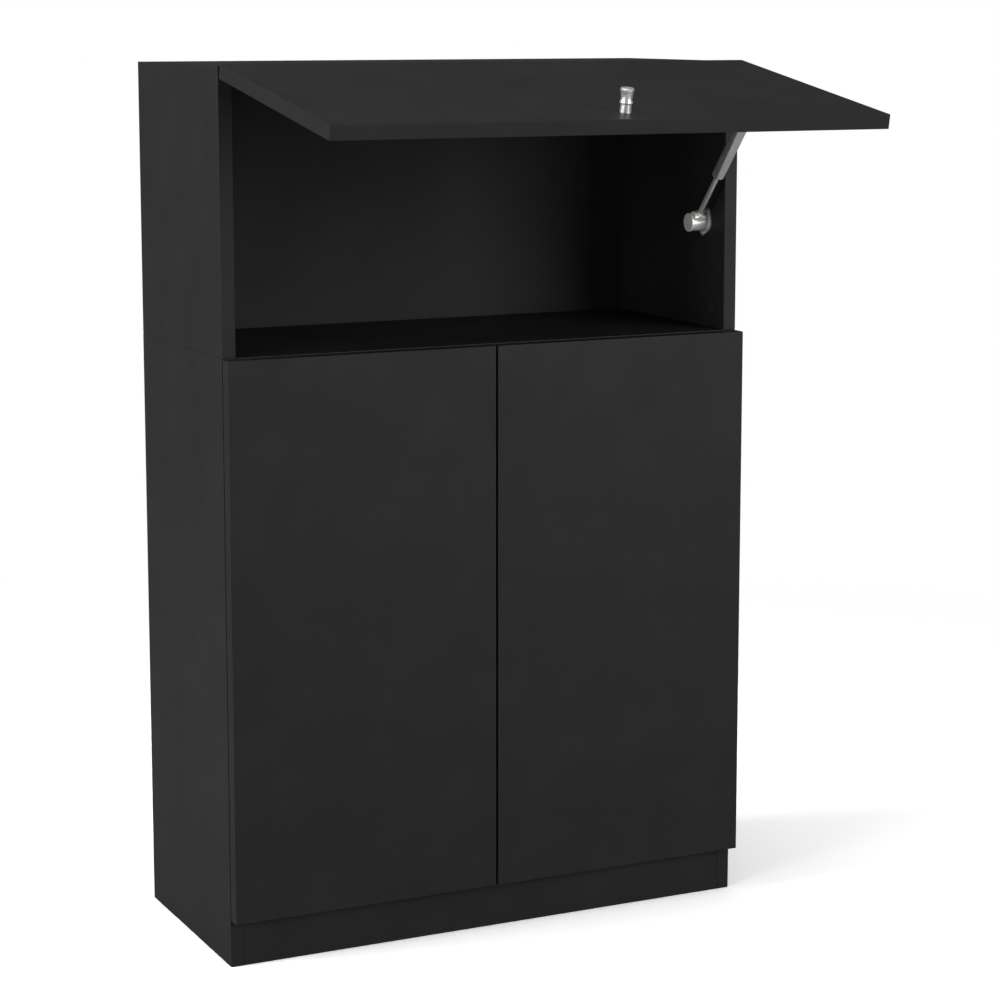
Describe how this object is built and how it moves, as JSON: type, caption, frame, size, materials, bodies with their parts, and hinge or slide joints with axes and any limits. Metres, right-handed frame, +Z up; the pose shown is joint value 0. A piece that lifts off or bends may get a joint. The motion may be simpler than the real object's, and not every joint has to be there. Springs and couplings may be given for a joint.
{
  "type": "shoe cabinet",
  "caption": "Tall narrow shoe cabinet in black board: hinged doors over shelves below, and above them a compartment whose front flap lifts up on cup hinges and a gas strut.",
  "frame": {"origin": "on the floor under the middle of the stored box, which is measured with the flap open and the doors closed", "axes": "+Z up; +X to the right of somebody who faces the doors; -Y towards them, so +Y runs from the doors to the back"},
  "size_m": [0.72, 0.653, 1.1218],
  "materials": {
    "black_board": "black melamine-faced particle board, smooth satin, edges banded in the same black",
    "back_sheet": "thin black-faced fibreboard, matt",
    "cam_zinc": "bare zinc casting, dull",
    "fastener_steel": "zinc-plated steel",
    "beech": "fluted beech, unfinished",
    "hinge_nickel": "nickel-plated pressed steel, satin",
    "knob_metal": "turned metal, satin nickel",
    "strut_nickel": "satin nickel",
    "strut_chrome": "ground and polished rod",
    "latch_plastic": "moulded black plastic"
  },
  "bodies": {
    "cabinet": {"lower_left_side": "black_board", "lower_right_side": "black_board", "upper_left_side": "black_board", "upper_right_side": "black_board", "upper_top_panel": "black_board", "lower_top_panel": "black_board", "lower_bottom_panel": "black_board", "plinth_board": "black_board", "lower_shelf": "black_board", "middle_shelf": "black_board", "upper_shelf": "black_board", "lower_back_panel": "back_sheet", "upper_back_panel": "back_sheet", "cam_locks": "cam_zinc", "cam_bolts": "fastener_steel", "shelf_pins": "fastener_steel", "hinge_arm_screws": "fastener_steel", "cabinet_wood_screws": "fastener_steel", "dowels": "beech", "left_door_lower_arm": "hinge_nickel", "left_door_lower_plate": "hinge_nickel", "left_door_upper_arm": "hinge_nickel", "left_door_upper_plate": "hinge_nickel", "right_door_lower_arm": "hinge_nickel", "right_door_lower_plate": "hinge_nickel", "right_door_upper_arm": "hinge_nickel", "right_door_upper_plate": "hinge_nickel", "flap_left_arm": "hinge_nickel", "flap_left_plate": "hinge_nickel", "flap_right_arm": "hinge_nickel", "flap_right_plate": "hinge_nickel", "hinge_pins": "hinge_nickel", "strut_wall_base": "strut_nickel", "strut_cap": "strut_nickel", "left_latch_housing": "latch_plastic", "right_latch_housing": "latch_plastic"},
    "left_door": {"left_door": "black_board", "left_door_lower_cup": "hinge_nickel", "left_door_upper_cup": "hinge_nickel", "left_door_wood_screws": "fastener_steel", "left_strike_plate": "hinge_nickel"},
    "right_door": {"right_door": "black_board", "right_door_lower_cup": "hinge_nickel", "right_door_upper_cup": "hinge_nickel", "right_door_wood_screws": "fastener_steel", "right_strike_plate": "hinge_nickel"},
    "flap": {"flap_panel": "black_board", "knob": "knob_metal", "knob_screw": "fastener_steel", "flap_left_cup": "hinge_nickel", "flap_right_cup": "hinge_nickel", "flap_wood_screws": "fastener_steel", "strut_flap_bracket": "strut_nickel"},
    "strut_rod": {"strut_hub": "strut_nickel", "strut_rod_end": "strut_nickel", "strut_rod": "strut_chrome"},
    "strut_tube": {"strut_tube": "strut_nickel", "strut_tube_end": "strut_nickel"},
    "left_plunger": {"left_latch_plunger": "latch_plastic"},
    "right_plunger": {"right_latch_plunger": "latch_plastic"}
  },
  "joints": [
    {"name": "flap_hinge", "type": "hinge", "parent": "cabinet", "child": "flap", "pos_m": [0, 0.01327, 1.1135], "axis": [1, 0, 0], "range_deg": [0, 80.2]},
    {"name": "left_door_hinge", "type": "hinge", "parent": "cabinet", "child": "left_door", "pos_m": [-0.3535, 0.01327, 0.414], "axis": [0, 0, -1], "range_deg": [0, 95]},
    {"name": "right_door_hinge", "type": "hinge", "parent": "cabinet", "child": "right_door", "pos_m": [0.3535, 0.01327, 0.414], "axis": [0, 0, 1], "range_deg": [0, 95]},
    {"name": "strut_pivot", "type": "hinge", "parent": "cabinet", "child": "strut_rod", "pos_m": [0.325, 0.07447, 0.9075], "axis": [1, 0, 0], "range_deg": [-35.23, 0]},
    {"name": "strut_slide", "type": "slide", "parent": "strut_rod", "child": "strut_tube", "axis": [0, -0.6652, 0.7467], "range_m": [-0.06808, 0]},
    {"name": "left_latch_slide", "type": "slide", "parent": "cabinet", "child": "left_plunger", "axis": [0, -1, 0], "range_m": [0, 0.01202]},
    {"name": "right_latch_slide", "type": "slide", "parent": "cabinet", "child": "right_plunger", "axis": [0, -1, 0], "range_m": [0, 0.01202]}
  ],
  "couplings": [
    {"joint": "strut_pivot", "follows": "flap_hinge", "ratio": -0.43898},
    {"joint": "strut_slide", "follows": "flap_hinge", "m_per_rad": -0.048604},
    {"joint": "left_latch_slide", "follows": "left_door_hinge", "m_per_rad": 0.0072374},
    {"joint": "right_latch_slide", "follows": "right_door_hinge", "m_per_rad": 0.0072374}
  ]
}
